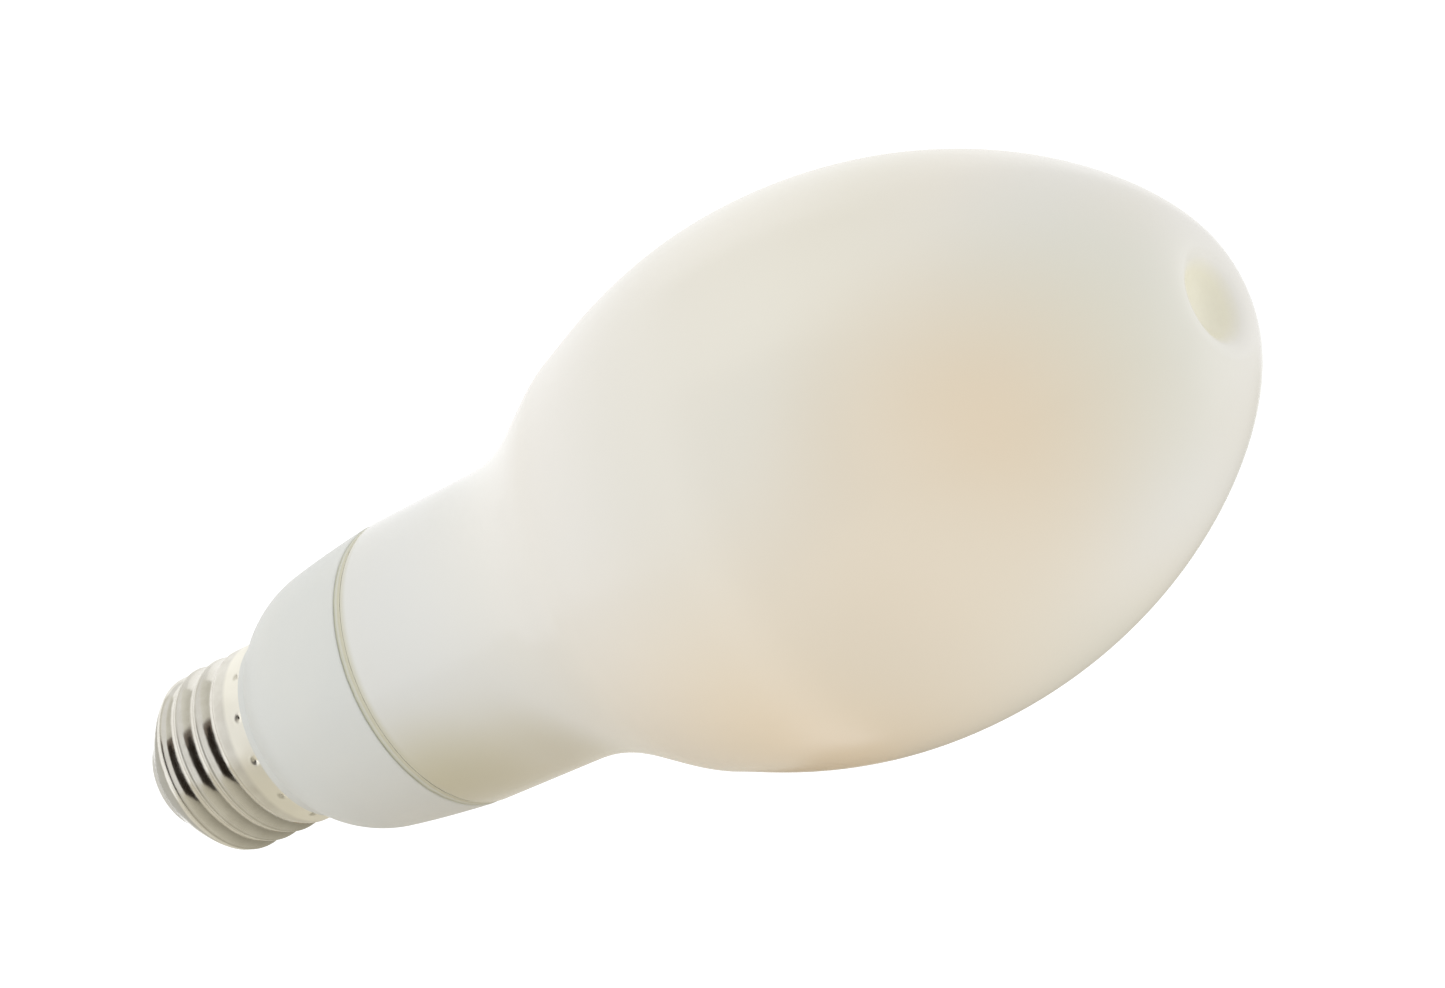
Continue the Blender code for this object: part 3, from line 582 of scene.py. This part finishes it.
def make_collar(look):
    """The moulded collar, down to the spigot inside the shell."""
    chamfer = SHELL_SHEET
    outline = joined(
        collar_outside(),
        [
            (COLLAR_NECK_RADIUS, SHELL_TOP + JOINT_LINE),
            (LAND_RADIUS, SHELL_TOP + JOINT_LINE),
            (LAND_RADIUS, THREAD_HIGH + LAND_TAPER),
            (SPIGOT_RADIUS, THREAD_HIGH),
            (SPIGOT_RADIUS, SPIGOT_LOW + chamfer),
            (SPIGOT_RADIUS - chamfer, SPIGOT_LOW),
            (BORE_RADIUS, SPIGOT_LOW),
            (BORE_RADIUS, FUNNEL_FLOOR),
            (BAY_RADIUS, BAY_FLOOR),
            (BAY_RADIUS, SOCKET_FLOOR),
            (SOCKET_RADIUS, SOCKET_FLOOR),
            (SOCKET_RADIUS, RIM_HEIGHT),
        ],
    )
    form = spun(outline, COLLAR_STEPS, True)
    add_rails(form)
    shown("moulded_collar", form, look, "base_collar")


def add_rails(form):
    """The ribs that hold the board's edges, and the stops under it, rooted in the collar's wall."""
    ribs = (
        (RAIL_FRONT, RAIL_LOW, FUNNEL_FLOOR - RAIL_SET_DOWN),
        (RAIL_BACK, RAIL_LOW, FUNNEL_FLOOR - RAIL_SET_DOWN),
        ((RAIL_BACK[0], RAIL_FRONT[1]), RAIL_LOW - STOP_THICKNESS, RAIL_LOW),
    )
    for (first, last), bottom, top in ribs:
        outer = math.sqrt((SPIGOT_RADIUS - SPIGOT_WALL / 3) ** 2 - first**2)
        size = (last - first, outer - RAIL_INNER, top - bottom)
        for side in (-1, 1):
            middle = Vector(((first + last) / 2, side * (RAIL_INNER + outer) / 2, (bottom + top) / 2))
            place = Matrix.Translation(middle) @ Matrix.Diagonal((*size, 1))
            bmesh.ops.create_cube(form, size=1, matrix=place)


def blend_in(height, start):
    """Rises smoothly from 0 to 1 over the thread's run-out."""
    share = min(max((height - start) / THREAD_RUNOUT, 0), 1)
    return share * share * (3 - 2 * share)


def flank_depth(from_root, run, hollow):
    """Depth on a flank of two tangent arcs; the hollow one has that share of their radii."""
    depth = (THREAD_MAJOR - THREAD_MINOR) / 2
    slope = 2 * math.atan2(depth, run)
    radii = run / math.sin(slope)
    root, crest = radii * hollow, radii * (1 - hollow)
    if from_root < root * math.sin(slope):
        return depth - root + math.sqrt(root**2 - from_root**2)
    return crest - math.sqrt(crest**2 - (run - from_root) ** 2)


def groove_depth(height, azimuth):
    """How far the rolled thread dips below its crest; the last groove runs out along its helix."""
    turns = (azimuth + math.pi / 2) / (2 * math.pi)
    over_root = (height - ROOT_HEIGHT - turns * THREAD_PITCH) % THREAD_PITCH
    upper_run = THREAD_PITCH - LOWER_FLANK
    if over_root < upper_run:
        dip = flank_depth(over_root, upper_run, UPPER_HOLLOW)
        root = height - over_root
    else:
        dip = flank_depth(THREAD_PITCH - over_root, LOWER_FLANK, LOWER_HOLLOW)
        root = height + THREAD_PITCH - over_root
    return dip * blend_in(height, THREAD_LOW) * (1 - blend_in(root, LAST_ROOT))


def punch_depth(height, azimuth):
    """The dent of the nearest punch mark, with the low swell of metal round it."""
    spacing = 2 * math.pi / PUNCH_COUNT
    aside = (azimuth - PUNCH_AZIMUTH + spacing / 2) % spacing - spacing / 2
    reach = math.hypot(aside * THREAD_MAJOR / 2, height - PUNCH_HEIGHT) / PUNCH_RADIUS
    if reach > MARK_END:
        return 0.0
    dent = math.exp(-(reach**2) * DENT_FALL)
    return PUNCH_DEPTH * (dent - SWELL_SHARE * math.exp(-((reach - SWELL_REACH) ** 2) * SWELL_FALL))


def curl_outline(steps):
    """The shell's rounded lower end, from its widest ring down to its mouth."""
    return curve(
        (THREAD_MAJOR / 2, CURL_TOP),
        (0, -CURL_PULL),
        (CURL_LEAN, CURL_RISE),
        (SHELL_MOUTH_RADIUS, SHELL_LOW),
        steps,
    )


def make_shell(look):
    """Rolled sheet: a punched plain band, the knuckle thread and a curled lower end."""
    wide = THREAD_MAJOR / 2
    outline = joined(
        line((wide, SHELL_TOP), (wide, THREAD_HIGH), BAND_ROWS),
        line((wide, THREAD_HIGH), (wide, CURL_TOP), THREAD_ROWS),
        curl_outline(CURL_ROWS),
    )
    form = spun(outline, SHELL_STEPS, False)
    for vert in form.verts:
        flat = vert.co.to_2d()
        azimuth = math.atan2(flat.y, flat.x)
        dip = groove_depth(vert.co.z, azimuth) + punch_depth(vert.co.z, azimuth)
        vert.co.xy = flat * (1 - dip / flat.length)
    shell = shown("rolled_shell", form, look, "screw_shell", 60)
    sheet = shell.modifiers.new("sheet", "SOLIDIFY")
    sheet.thickness = SHELL_SHEET
    sheet.offset = -1
    sheet.use_even_offset = True


def make_insulator(look):
    """Moulded plug whose flange lies in the shell's curl, with a bore for the contact."""
    bore = EYELET_TUBE_RADIUS + GAP
    seat = moved_inwards(curl_outline(40), SHELL_SHEET + GAP)
    flange = [point for point in seat if INSULATOR_WAIST < point[1] < FLANGE_TOP]
    waist = (flange[-1][0], INSULATOR_WAIST)
    edge = (INSULATOR_EDGE_RADIUS, INSULATOR_EDGE)
    tip = (INSULATOR_TIP_RADIUS, INSULATOR_LOW)
    cone = joined(
        [waist],
        curve(between(edge, waist, EDGE_START), *EDGE_PULLS, between(edge, tip, EDGE_END), 10),
        [tip, (bore, INSULATOR_LOW)],
    )
    outline = joined([(bore, FLANGE_TOP), (flange[0][0], FLANGE_TOP)], flange, cone)
    form = spun(outline, COLLAR_STEPS, True)
    shown("insulator_plug", form, look, "base_insulator")


def make_contact(brass, plated):
    """Pressed eyelet in the insulator, and the pin that is driven into it."""
    inside = EYELET_TUBE_RADIUS - EYELET_SHEET
    edge = EYELET_SHEET / 2
    eyelet = joined(
        [
            (inside, EYELET_TUBE_TOP),
            (EYELET_TUBE_RADIUS, EYELET_TUBE_TOP),
            (EYELET_TUBE_RADIUS, EYELET_LOW + EYELET_SHEET),
        ],
        arc((EYELET_RADIUS - edge, EYELET_LOW + edge), edge, 90, -90, 8),
        [(inside, EYELET_LOW)],
    )
    shown("contact_ring", spun(eyelet, CONTACT_STEPS, True), brass, "contact_eyelet")
    shank = inside - GAP
    half = PIN_HEAD / 2
    pin = joined(
        [(0, PIN_TOP), (shank, PIN_TOP), (shank, PIN_HEAD)],
        arc((PIN_HEAD_RADIUS - half, half), half, 90, -90, 12),
        [(0, 0)],
    )
    shown("contact_head", spun(pin, CONTACT_STEPS, False), plated, "contact_pin")


def milky_glass():
    """Gloss glass over a milky coat, with soft spots of painted warm light and painted shade on its near
    side, and painted light in its dimple.
    """
    look = Look("milky_glass", (0.75, 0.73, 0.655), 0.16)
    along = look.span(look.heights(), SEAM_HEIGHT, SEAM_HEIGHT + CREST_HEIGHT)
    tone = look.ramp(along, COAT_TONES)
    # Each spot mixes in painted warm light or painted shade
    for centre, size, colour in PAINTED_LIGHT_SPOTS:
        tone = look.mix(look.spot(centre, size), tone, colour)
    over_seam = look.math("SUBTRACT", look.heights(), SEAM_HEIGHT)
    smear = look.span(over_seam, SMEAR_START, SMEAR_END, 0.88, 0.0, smooth=True)
    tone = look.mix(smear, tone, (0.56, 0.54, 0.41))
    # Painted light in the dimple: a lighter, warmer colour that lifts the shade of its hollow
    hollow = look.span(look.radii(), *DIMPLE_LIGHT_RADII, 1.0, 0.0)
    dimple = look.math("MULTIPLY", look.span(along, *DIMPLE_LIGHT_SHARES), hollow)
    tone = look.mix(dimple, tone, (0.745, 0.720, 0.590))
    cloud = look.span(look.noise(26, 4, 0.55), 0.3, 0.7)
    look.feed("Base Color", look.mix(look.math("MULTIPLY", cloud, 0.10), tone, (0.80, 0.74, 0.62)))
    satin = look.span(along, 0.15, 0.40, 0.0, 0.09, smooth=True)
    look.feed("Roughness", look.math("ADD", satin, look.span(look.noise(60, 3), 0.3, 0.7, 0.12, 0.18)))
    look.feed("Normal", look.bump(look.noise(45, 2), 0.00008, 0.5))
    return look


def hand_laid_glue():
    """Cream sealant, darker in the corner at the collar's rim and stained where it meets the glass."""
    look = Look("seam_glue", (0.58, 0.57, 0.46), 0.5)
    along = look.span(look.heights(), RIM_HEIGHT, SEAM_HEIGHT + GAP)
    tone = look.ramp(
        along,
        [
            (0.0, (0.40, 0.40, 0.28)),
            (0.20, (0.46, 0.46, 0.33)),
            (0.45, (0.60, 0.60, 0.53)),
            (0.75, (0.56, 0.54, 0.40)),
            (1.0, (0.62, 0.60, 0.48)),
        ],
    )
    speck = look.span(look.noise(500, 4, 0.6), 0.35, 0.65)
    look.feed("Base Color", look.mix(look.math("MULTIPLY", speck, 0.25), tone, (0.64, 0.62, 0.50)))
    look.feed("Roughness", look.span(speck, 0.0, 1.0, 0.42, 0.60))
    look.feed("Normal", look.bump(look.noise(2000, 3), 0.0001, 0.5))
    return look


def moulded_white():
    """Satin white moulding with the fine grain of its tool."""
    look = Look("moulded_white", (0.70, 0.71, 0.68), 0.42)
    grain = look.noise(1500, 3, 0.6)
    cloud = look.noise(55, 4, 0.55)
    tone = look.mix(look.span(cloud, 0.3, 0.7), (0.657, 0.669, 0.639), (0.690, 0.694, 0.653))
    look.feed("Base Color", tone)
    look.feed("Roughness", look.span(grain, 0.3, 0.7, 0.36, 0.48))
    look.feed("Normal", look.bump(grain, 0.00002, 0.4))
    return look


def rolled_nickel():
    """Bright plate with the fine lines of rolling round the axis."""
    look = Look("rolled_nickel", (0.71, 0.68, 0.61), 0.17, metallic=1.0)
    lines = look.noise(5200, 2, 0.6, stretch=(0.06, 0.06, 1.0))
    cloud = look.noise(330, 4, 0.6)
    plate = look.mix(look.span(cloud, 0.35, 0.7), (0.75, 0.73, 0.665), (0.68, 0.655, 0.585))
    # Painted light: the plain band above the thread has a lighter colour than the same plate on the thread
    band = look.span(look.heights(), THREAD_HIGH + THREAD_FADE, THREAD_HIGH + THREAD_FADE * 2)
    look.feed("Base Color", look.mix(band, plate, (0.87, 0.845, 0.75)))
    worn = look.span(look.radii(), WORN_RADIUS, THREAD_MAJOR / 2, 0.0, 0.24)
    look.feed("Roughness", look.math("ADD", worn, look.span(cloud, 0.3, 0.7, 0.12, 0.20)))
    wavy = look.bump(look.noise(420, 2), 0.00006, 0.5)
    look.feed("Normal", look.bump(lines, 0.000006, 0.5, wavy))
    return look


def speckled(name, first, second, roughness, scale, metallic=0.0, depth=0.00004):
    """A moulded, pressed or painted surface with a mottled colour and a light grain."""
    look = Look(name, first, roughness, metallic)
    speck = look.noise(scale, 4, 0.6)
    look.feed("Base Color", look.mix(look.span(speck, 0.35, 0.65), first, second))
    look.feed("Roughness", look.span(speck, 0.3, 0.7, roughness * 0.85, min(1.0, roughness * 1.2)))
    look.feed("Normal", look.bump(look.noise(scale * 4, 3), depth, 0.5))
    return look


def wound_copper():
    """Enamelled wire, turn beside turn along the winding's axis."""
    look = Look("wound_copper", (0.50, 0.17, 0.06), 0.3, metallic=0.7)
    wave = look.node(
        "ShaderNodeTexWave",
        {"Vector": look.place, "Scale": 1000.0, "Distortion": 0.4, "Detail": 1.0},
        wave_type="BANDS",
        bands_direction="Y",
    ).outputs["Fac"]
    look.feed("Base Color", look.mix(wave, (0.24, 0.07, 0.02), (0.60, 0.22, 0.08)))
    look.feed("Normal", look.bump(wave, 0.0001, 0.8))
    return look


def board_laminate():
    """Green solder mask over copper tracks, with the weave of the laminate under it."""
    look = Look("board_laminate", (0.05, 0.22, 0.10), 0.4)
    cells = look.node(
        "ShaderNodeTexVoronoi",
        {"Vector": look.place, "Scale": 420.0},
        feature="DISTANCE_TO_EDGE",
        distance="EUCLIDEAN",
    ).outputs["Distance"]
    track = look.span(cells, 0.10, 0.14)
    weave = look.noise(2600, 2, 0.5, stretch=(1.0, 1.0, 0.2))
    green = look.mix(look.span(weave, 0.3, 0.7), (0.035, 0.18, 0.075), (0.06, 0.25, 0.11))
    look.feed("Base Color", look.mix(track, green, (0.09, 0.33, 0.15)))
    look.feed("Normal", look.bump(track, 0.00004, 0.8))
    return look


def dress_inner_parts(nickel):
    """Better materials for the driver's pieces, which keep their CAD shapes."""
    dark_sleeve = speckled("can_sleeve", (0.015, 0.022, 0.06), (0.03, 0.04, 0.10), 0.3, 900)
    ceramic = speckled("blue_ceramic", (0.04, 0.16, 0.36), (0.07, 0.24, 0.48), 0.42, 1200)
    black = speckled("chip_moulding", (0.02, 0.02, 0.021), (0.045, 0.045, 0.045), 0.5, 2500)
    looks = {
        "driver_board": board_laminate(),
        "choke_core": speckled("ferrite", (0.05, 0.045, 0.04), (0.09, 0.08, 0.07), 0.62, 1800),
        "choke_bobbin": speckled("nylon", (0.52, 0.50, 0.42), (0.60, 0.58, 0.50), 0.5, 700),
        "choke_winding": wound_copper(),
        "storage_capacitor": dark_sleeve,
        "output_capacitor": dark_sleeve,
        "filter_inductor": speckled("shrink_sleeve", (0.015, 0.015, 0.015), (0.03, 0.03, 0.03), 0.5, 1100),
        "fuse_resistor": ceramic,
        "varistor": ceramic,
        "film_capacitor": speckled("film_case", (0.42, 0.05, 0.02), (0.55, 0.09, 0.04), 0.35, 800),
        "bridge_rectifier": black,
        "driver_chip": black,
        "freewheel_diode": black,
        "live_lead": speckled("wire_insulation", (0.40, 0.02, 0.02), (0.50, 0.03, 0.03), 0.45, 1500),
        "neutral_lead": nickel,
        "stem_lead_positive": nickel,
        "stem_lead_negative": nickel,
    }
    for node, look in looks.items():
        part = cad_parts[node]
        part.data.materials.clear()
        part.data.materials.append(look.material)


def bright_to(tree, rays):
    """1 for a ray of one of these kinds, and 0 for the rest."""
    path = tree.nodes.new("ShaderNodeLightPath")
    total = path.outputs[rays[0]]
    for name in rays[1:]:
        add = tree.nodes.new("ShaderNodeMath")
        add.operation = "MAXIMUM"
        tree.links.new(total, add.inputs[0])
        tree.links.new(path.outputs[name], add.inputs[1])
        total = add.outputs[0]
    return total


def make_world(level, mirrored):
    """White where it is seen, a little less in mirrors, and a plain level of soft light elsewhere."""
    world = bpy.data.worlds.new("studio")
    world.use_nodes = True
    tree = world.node_tree
    tree.nodes.clear()
    background = tree.nodes.new("ShaderNodeBackground")
    output = tree.nodes.new("ShaderNodeOutputWorld")
    seen, strength = tree.nodes.new("ShaderNodeMath"), tree.nodes.new("ShaderNodeMath")
    for node, rays, rise in ((seen, SEEN_RAYS, 1 - level), (strength, MIRROR_RAYS, mirrored - 1)):
        node.operation = "MULTIPLY_ADD"
        tree.links.new(bright_to(tree, rays), node.inputs[0])
        node.inputs[1].default_value = rise
    seen.inputs[2].default_value = level
    tree.links.new(seen.outputs[0], strength.inputs[2])
    background.inputs["Color"].default_value = WHITE
    tree.links.new(strength.outputs[0], background.inputs["Strength"])
    tree.links.new(background.outputs[0], output.inputs["Surface"])
    bpy.context.scene.world = world


def make_floor():
    """A plain pale floor that shows white and keeps a soft shadow."""
    mesh = bpy.data.meshes.new("floor")
    half = FLOOR_SIZE / 2
    low = CAD_LOW.z - FLOOR_DROP
    corners = [(-half, -half, low), (half, -half, low), (half, half, low), (-half, half, low)]
    mesh.from_pydata(corners, [], [(0, 1, 2, 3)])
    floor = bpy.data.objects.new("floor", mesh)
    bpy.context.scene.collection.objects.link(floor)
    material = bpy.data.materials.new("floor_paper")
    material.use_nodes = True
    tree = material.node_tree
    tree.nodes.clear()
    paper = tree.nodes.new("ShaderNodeBsdfDiffuse")
    paper.inputs["Color"].default_value = (FLOOR_PAPER, FLOOR_PAPER, FLOOR_PAPER, 1)
    seen_paper = tree.nodes.new("ShaderNodeBsdfDiffuse")
    seen_paper.inputs["Color"].default_value = (FLOOR_SEEN, FLOOR_SEEN, FLOOR_SEEN, 1)
    glow = tree.nodes.new("ShaderNodeEmission")
    glow.inputs["Strength"].default_value = FLOOR_GLOW
    seen = tree.nodes.new("ShaderNodeAddShader")
    tree.links.new(seen_paper.outputs[0], seen.inputs[0])
    tree.links.new(glow.outputs[0], seen.inputs[1])
    choice = tree.nodes.new("ShaderNodeMixShader")
    tree.links.new(bright_to(tree, SEEN_RAYS), choice.inputs[0])
    tree.links.new(paper.outputs[0], choice.inputs[1])
    tree.links.new(seen.outputs[0], choice.inputs[2])
    output = tree.nodes.new("ShaderNodeOutputMaterial")
    tree.links.new(choice.outputs[0], output.inputs["Surface"])
    mesh.materials.append(material)


def aimed(position, target):
    """The placement of a lamp at a position, with its -Z side towards the target."""
    turn = (Vector(target) - Vector(position)).to_track_quat("-Z", "Y").to_matrix().to_4x4()
    return Matrix.Translation(position) @ turn


def make_softbox(name, direction, distance, power):
    """A square lamp that shines at the object, and that neither the camera nor mirrors see."""
    data = bpy.data.lights.new(name, "AREA")
    data.shape = "SQUARE"
    data.size = SOFTBOX_SIZE
    data.energy = power
    lamp = bpy.data.objects.new(name, data)
    lamp.matrix_world = aimed(CAMERA_AIM + direction.normalized() * distance, CAMERA_AIM)
    lamp.visible_camera = lamp.visible_glossy = False
    bpy.context.scene.collection.objects.link(lamp)


def heading(azimuth, elevation):
    """The direction at that azimuth from +X and that height over the horizon, in degrees."""
    a, e = math.radians(azimuth), math.radians(elevation)
    return Vector((math.cos(a) * math.cos(e), math.sin(a) * math.cos(e), math.sin(e)))


def make_card(name, low_edge, high_edge, elevations, distance, low_colour, high_colour):
    """A curved card round the cap that only mirrors see, as a studio sets beside bright metal.

    Each edge is a pair of azimuths, and the colour runs from the low edge to the high one.
    """
    verts = []
    for i in range(CARD_STEPS + 1):
        row = i / CARD_STEPS
        first, last = between(low_edge, high_edge, row)
        elevation = elevations[0] + (elevations[1] - elevations[0]) * row
        for j in range(CARD_STEPS + 1):
            place = heading(first + (last - first) * j / CARD_STEPS, elevation) * distance
            verts.append(CARD_CENTRE + place)
    faces = []
    across = CARD_STEPS + 1
    for i in range(CARD_STEPS):
        for j in range(CARD_STEPS):
            corner = i * across + j
            faces.append((corner, corner + 1, corner + across + 1, corner + across))
    mesh = bpy.data.meshes.new(name)
    mesh.from_pydata(verts, [], faces)
    card = bpy.data.objects.new(name, mesh)
    material = bpy.data.materials.new(name)
    material.use_nodes = True
    tree = material.node_tree
    tree.nodes.clear()
    place = tree.nodes.new("ShaderNodeTexCoord")
    height = tree.nodes.new("ShaderNodeSeparateXYZ")
    fade = tree.nodes.new("ShaderNodeMapRange")
    shade = tree.nodes.new("ShaderNodeValToRGB")
    glow = tree.nodes.new("ShaderNodeEmission")
    output = tree.nodes.new("ShaderNodeOutputMaterial")
    fade.inputs["From Min"].default_value = CARD_CENTRE.z + distance * math.sin(math.radians(elevations[0]))
    fade.inputs["From Max"].default_value = CARD_CENTRE.z + distance * math.sin(math.radians(elevations[1]))
    shade.color_ramp.elements[0].color = (*low_colour, 1)
    shade.color_ramp.elements[1].color = (*high_colour, 1)
    tree.links.new(place.outputs["Object"], height.inputs[0])
    tree.links.new(height.outputs["Z"], fade.inputs["Value"])
    tree.links.new(fade.outputs[0], shade.inputs[0])
    tree.links.new(shade.outputs["Color"], glow.inputs["Color"])
    tree.links.new(glow.outputs[0], output.inputs["Surface"])
    mesh.materials.append(material)
    bpy.context.scene.collection.objects.link(card)
    for kind in ("camera", "diffuse", "transmission", "volume_scatter", "shadow"):
        setattr(card, f"visible_{kind}", False)


def make_board(name, azimuth, distance, heights, colour):
    """A plain board that stands along the object, which shades that side and warms it."""
    outward, across = heading(azimuth, 0) * distance, heading(azimuth + 90, 0) * BOARD_WIDTH / 2
    ends = [Vector((0, 0, height)) + outward for height in heights]
    corners = [ends[0] - across, ends[0] + across, ends[1] + across, ends[1] - across]
    mesh = bpy.data.meshes.new(name)
    mesh.from_pydata(corners, [], [(0, 1, 2, 3)])
    board = bpy.data.objects.new(name, mesh)
    material = bpy.data.materials.new(name)
    material.use_nodes = True
    tree = material.node_tree
    tree.nodes.clear()
    paint = tree.nodes.new("ShaderNodeBsdfDiffuse")
    paint.inputs["Color"].default_value = (*colour, 1)
    output = tree.nodes.new("ShaderNodeOutputMaterial")
    tree.links.new(paint.outputs[0], output.inputs["Surface"])
    mesh.materials.append(material)
    bpy.context.scene.collection.objects.link(board)
    board.visible_camera = board.visible_glossy = False


def make_studio():
    """Soft light from all round, three weak lamps, a warm board, and what the bright metal mirrors."""
    make_world(WORLD_LEVEL, MIRROR_LEVEL)
    make_floor()
    make_softbox("key", UP - RIGHT * 0.65 + BACK * 0.2, distance=1.2, power=1.26)
    make_softbox("side", RIGHT, distance=1.2, power=3.65)
    make_softbox("low_side", BACK * 0.6 - RIGHT - UP * 0.5, distance=0.9, power=1.5)
    make_board("low_board", azimuth=-8, distance=0.085, heights=(0.018, 0.115), colour=(0.37, 0.27, 0.12))
    dark = (0.016, 0.011, 0.008)
    dusk = (0.15, 0.12, 0.10)
    make_card("camera_dusk", (-146, -58), (-141, -78), (-24, 14), 0.605, dusk, dusk)
    make_card("camera_side", (-130, -58), (-125, -80), (-23, 12), 0.60, dark, dark)
    make_card("camera_tip", (-138, -126), (-133, -123), (-14, 3), 0.60, dark, dark)
    make_card("room_right", (-62, 80), (-82, 80), (-25, 24), 0.61, (0.32, 0.30, 0.24), (0.66, 0.63, 0.54))
    make_card("room_above", (-78, 80), (-78, 80), (20, 78), 0.62, (0.66, 0.63, 0.54), (0.70, 0.68, 0.62))
    make_card("table_right", (-84, 80), (-84, 80), (-82, -25), 0.29, (0.82, 0.79, 0.70), (0.74, 0.70, 0.60))
    make_card("table_under", (50, 130), (50, 130), (-80, -52), 0.27, (0.52, 0.51, 0.47), (0.52, 0.51, 0.47))
    make_card("behind", (28, 78), (34, 74), (-36, -24), 0.54, (0.34, 0.24, 0.13), (0.42, 0.33, 0.21))
    make_card("room_left", (-200, -144), (-200, -140), (-25, 8), 0.61, (0.62, 0.61, 0.56), (0.84, 0.83, 0.78))


def build():
    """Every piece that stands for a CAD node, and the looks of the nodes that keep their CAD shape."""
    nickel = rolled_nickel()
    make_glass(milky_glass())
    make_glue(hand_laid_glue())
    make_collar(moulded_white())
    make_shell(nickel)
    make_insulator(speckled("cream_moulding", (0.60, 0.58, 0.52), (0.66, 0.64, 0.58), 0.35, 1500))
    brass = speckled("pressed_brass", (0.66, 0.47, 0.22), (0.74, 0.55, 0.28), 0.3, 900, metallic=1.0)
    make_contact(brass, nickel)
    dress_inner_parts(nickel)


bpy.context.scene.view_settings.view_transform = "Standard"
make_camera()
make_studio()
build()
